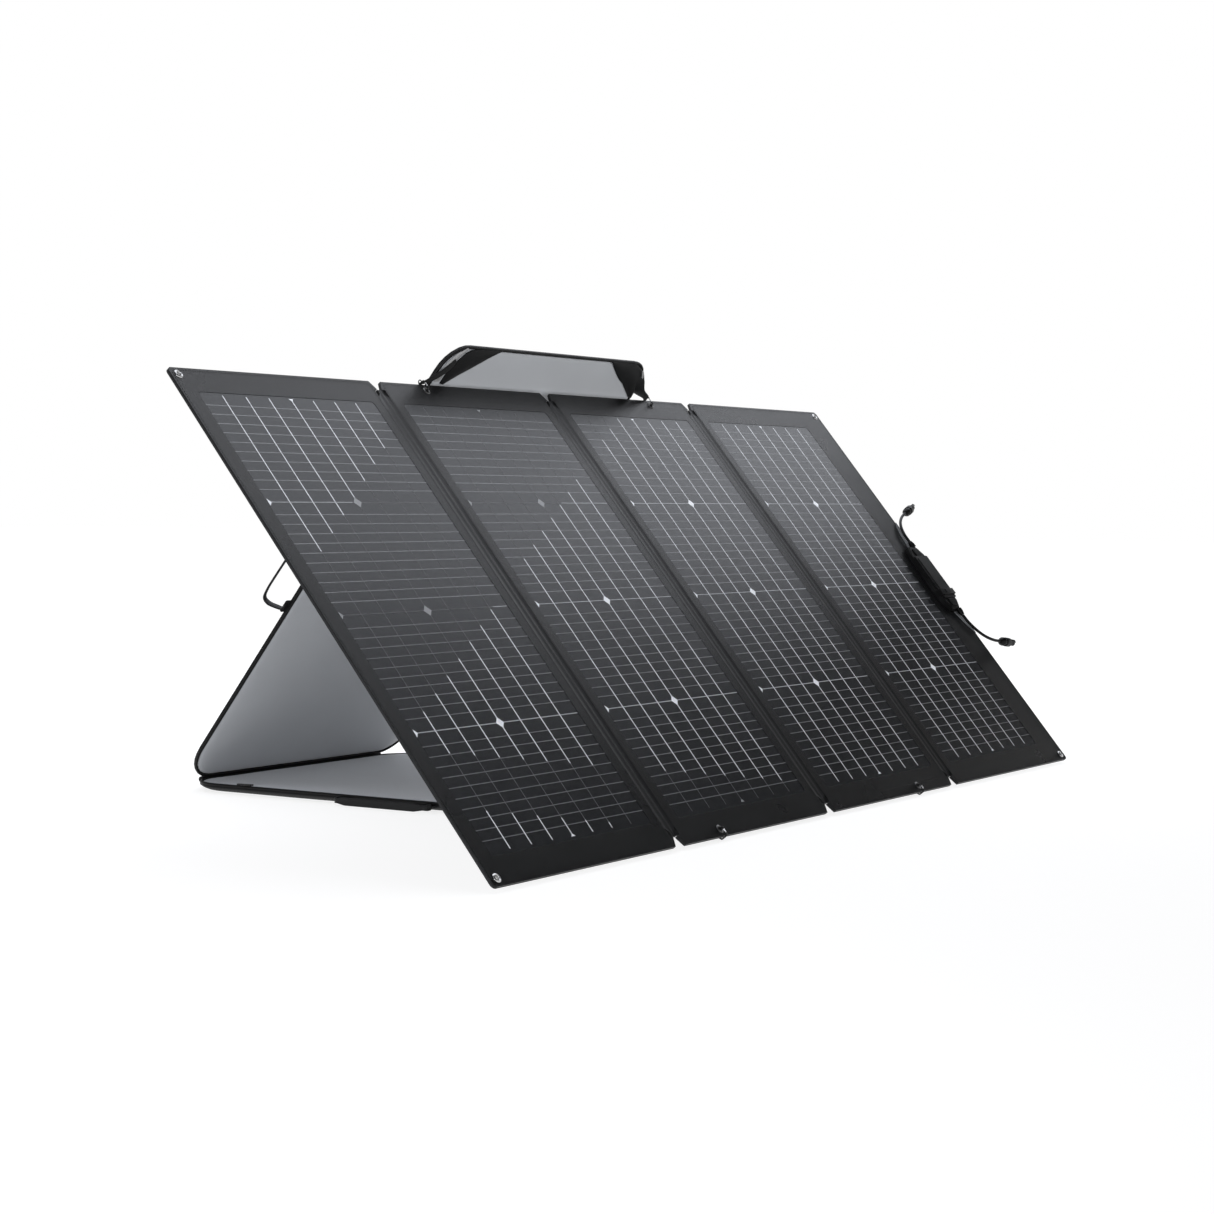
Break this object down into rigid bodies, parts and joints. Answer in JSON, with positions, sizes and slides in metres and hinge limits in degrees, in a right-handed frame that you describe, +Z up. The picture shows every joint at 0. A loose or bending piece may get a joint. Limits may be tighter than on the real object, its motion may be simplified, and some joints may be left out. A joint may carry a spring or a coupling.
{
  "type": "solar suitcase kit",
  "caption": "Folding solar panel set of hinged fabric-edged panels, leaning on its own opened carrying case as a stand, with junction box and short leads.",
  "frame": {"origin": "on the ground, at the middle of the length of the case half that lies flat, under the middle fold line of the panels", "axes": "+X along the row of panels towards the junction box, +Y towards the back of the stand, +Z up; the panels face -Y and up"},
  "size_m": [1.9197, 1.0308, 0.702],
  "materials": {
    "border_fabric": "matt black woven polyester over a stiff board",
    "cell_film": "satin textured fluoropolymer film over dark cells",
    "silicon": "dark blue-black wafers with silvered ribbons",
    "hinge_fabric": "soft black woven fabric",
    "case_fabric": "coated black woven fabric",
    "case_lining": "brushed grey padded lining",
    "stiffener": "plain sheet",
    "piping": "satin black piping",
    "webbing": "black ribbed webbing",
    "steel": "plated",
    "black_metal": "black plated, slightly worn",
    "box_plastic": "fine-grained moulded black",
    "circuit_board": "green solder mask",
    "lead_rubber": "satin black cable sheath"
  },
  "bodies": {
    "ground_board": {"ground_shell": "case_fabric", "ground_stiffener": "stiffener", "ground_lining": "case_lining", "ground_rim": "piping", "case_spine": "case_fabric"},
    "leg_board": {"leg_shell": "case_fabric", "leg_stiffener": "stiffener", "leg_lining": "case_lining", "leg_rim": "piping", "corner_pocket_left": "webbing", "corner_pocket_right": "webbing", "strap_top_left": "webbing", "strap_top_right": "webbing"},
    "middle_panels": {"panel_2_cover": "border_fabric", "panel_2_cells": "silicon", "panel_2_film": "cell_film", "panel_3_cover": "border_fabric", "panel_3_cells": "silicon", "panel_3_film": "cell_film", "fold_strip_1": "hinge_fabric", "fold_strip_2": "hinge_fabric", "fold_strip_3": "hinge_fabric", "grommet_hook_left_bottom": "steel", "grommet_hook_left_top": "steel", "grommet_hook_right_bottom": "steel", "grommet_hook_right_top": "steel", "hook_left_top": "black_metal", "hook_left_bottom": "black_metal", "hook_right_top": "black_metal", "hook_right_bottom": "black_metal"},
    "left_panel": {"panel_1_cover": "border_fabric", "panel_1_cells": "silicon", "panel_1_film": "cell_film", "grommet_outer_left_bottom": "steel", "grommet_outer_left_top": "steel"},
    "right_panel": {"panel_4_cover": "border_fabric", "panel_4_cells": "silicon", "panel_4_film": "cell_film", "grommet_outer_right_bottom": "steel", "grommet_outer_right_top": "steel", "junction_box_base": "box_plastic", "junction_box_lid": "box_plastic", "junction_box_clip": "box_plastic", "terminal_board": "circuit_board", "gland_upper": "box_plastic", "gland_lower": "box_plastic", "lead_upper": "lead_rubber", "lead_lower": "lead_rubber", "connector_upper": "box_plastic", "connector_lower": "box_plastic"},
    "lower_straps": {"strap_bottom_left": "webbing", "strap_bottom_right": "webbing"},
    "leg_loop": {"leg_handle": "webbing"},
    "ground_loop": {"ground_handle": "webbing"},
    "zip_pull": {"zip_slider": "black_metal"},
    "snap_gate_left_top": {"gate_left_top": "steel"},
    "snap_gate_left_bottom": {"gate_left_bottom": "steel"},
    "snap_gate_right_top": {"gate_right_top": "steel"},
    "snap_gate_right_bottom": {"gate_right_bottom": "steel"}
  },
  "joints": [
    {"name": "stand_fold", "type": "hinge", "parent": "ground_board", "child": "leg_board", "pos_m": [-0.0144, 0.439, 0.013], "axis": [-1, 0, 0], "range_deg": [-12, 4]},
    {"name": "panel_tilt", "type": "hinge", "parent": "leg_board", "child": "middle_panels", "pos_m": [-0.0144, -0.0563, 0.639], "axis": [1, 0, 0], "range_deg": [-24, 8]},
    {"name": "strap_feed", "type": "slide", "parent": "ground_board", "child": "lower_straps", "axis": [0, -1, 0], "range_m": [-0.079, 0.235]},
    {"name": "left_panel_fold", "type": "hinge", "parent": "middle_panels", "child": "left_panel", "pos_m": [-0.4437, -0.32322, 0.32477], "axis": [0, 0.6347, 0.7727], "range_deg": [0, 176]},
    {"name": "right_panel_fold", "type": "hinge", "parent": "middle_panels", "child": "right_panel", "pos_m": [0.4437, -0.32322, 0.32477], "axis": [0, -0.6347, -0.7727], "range_deg": [0, 170]},
    {"name": "leg_handle_swing", "type": "hinge", "parent": "leg_board", "child": "leg_loop", "pos_m": [-0.3094, 0.17387, 0.35788], "axis": [0, -0.6157, 0.788], "range_deg": [-60, 70], "stiffness_Nm_per_rad": 0.3},
    {"name": "ground_handle_swing", "type": "hinge", "parent": "ground_board", "child": "ground_loop", "pos_m": [-0.307, 0.022, 0.0085], "axis": [0, 1, 0], "range_deg": [0, 85]},
    {"name": "zip_slide", "type": "slide", "parent": "ground_board", "child": "zip_pull", "axis": [0, -1, 0], "range_m": [-0.04, 0.5]},
    {"name": "gate_left_top_spring", "type": "hinge", "parent": "middle_panels", "child": "snap_gate_left_top", "pos_m": [-0.326, -0.06652, 0.64359], "axis": [1, 0, 0], "range_deg": [0, 18], "stiffness_Nm_per_rad": 0.02},
    {"name": "gate_left_bottom_spring", "type": "hinge", "parent": "middle_panels", "child": "snap_gate_left_bottom", "pos_m": [-0.326, -0.58515, 0.01219], "axis": [-1, 0, 0], "range_deg": [0, 18], "stiffness_Nm_per_rad": 0.02},
    {"name": "gate_right_top_spring", "type": "hinge", "parent": "middle_panels", "child": "snap_gate_right_top", "pos_m": [0.3156, -0.06652, 0.64359], "axis": [1, 0, 0], "range_deg": [0, 18], "stiffness_Nm_per_rad": 0.02},
    {"name": "gate_right_bottom_spring", "type": "hinge", "parent": "middle_panels", "child": "snap_gate_right_bottom", "pos_m": [0.3156, -0.58515, 0.01219], "axis": [-1, 0, 0], "range_deg": [0, 18], "stiffness_Nm_per_rad": 0.02}
  ],
  "couplings": [
    {"joint": "panel_tilt", "follows": "stand_fold", "ratio": 1.9525},
    {"joint": "strap_feed", "follows": "stand_fold", "m_per_rad": -1.117}
  ]
}
